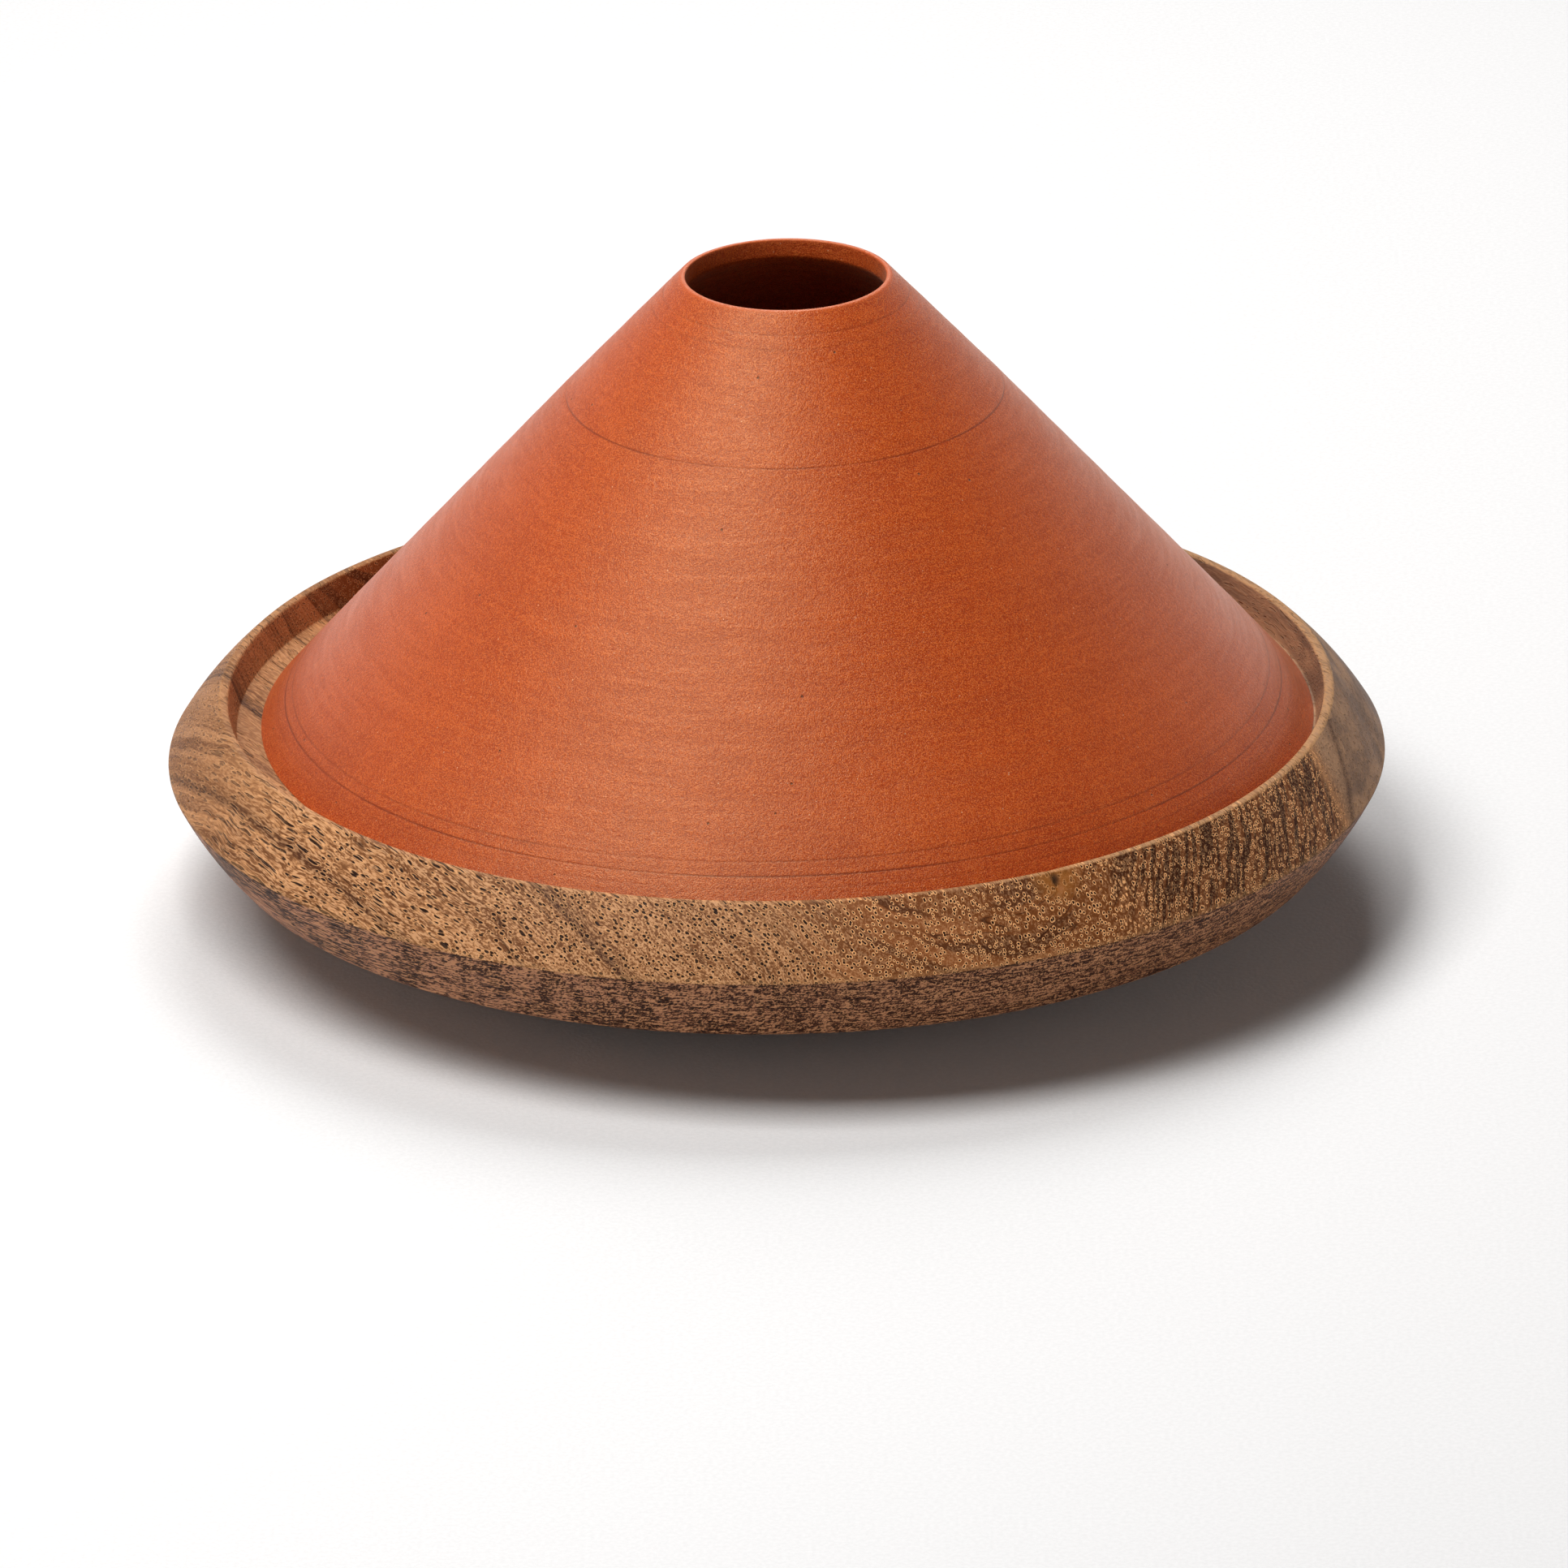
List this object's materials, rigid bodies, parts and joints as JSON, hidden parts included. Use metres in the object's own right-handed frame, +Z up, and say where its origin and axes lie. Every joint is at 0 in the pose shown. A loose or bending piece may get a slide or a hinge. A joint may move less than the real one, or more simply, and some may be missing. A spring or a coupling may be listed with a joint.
{
  "type": "tagine",
  "caption": "Small tagine: open-topped clay cone lid standing in a turned wooden base, over a shallow clay dish in the base's well.",
  "frame": {"origin": "centre of the foot ring, on the surface the base stands on", "axes": "+Z up along the axis of the turned base; the front faces -Y, +X to its right"},
  "size_m": [0.1806, 0.1806, 0.0973],
  "materials": {
    "turned_wood": "open-pored brown hardwood, turned and lightly oiled",
    "dish_clay": "unglazed red earthenware, burnished inside",
    "lid_clay": "unglazed red earthenware, fine grained and matt, with faint throwing rings"
  },
  "bodies": {
    "base": {"wooden_base": "turned_wood"},
    "dish": {"cooking_dish": "dish_clay"},
    "lid": {"cone_lid": "lid_clay"}
  },
  "joints": [
    {"name": "dish_lift", "type": "slide", "parent": "base", "child": "dish", "axis": [0, 0, 1], "range_m": [0, 0.06]},
    {"name": "lid_lift", "type": "slide", "parent": "dish", "child": "lid", "axis": [0, 0, 1], "range_m": [0, 0.12]}
  ]
}
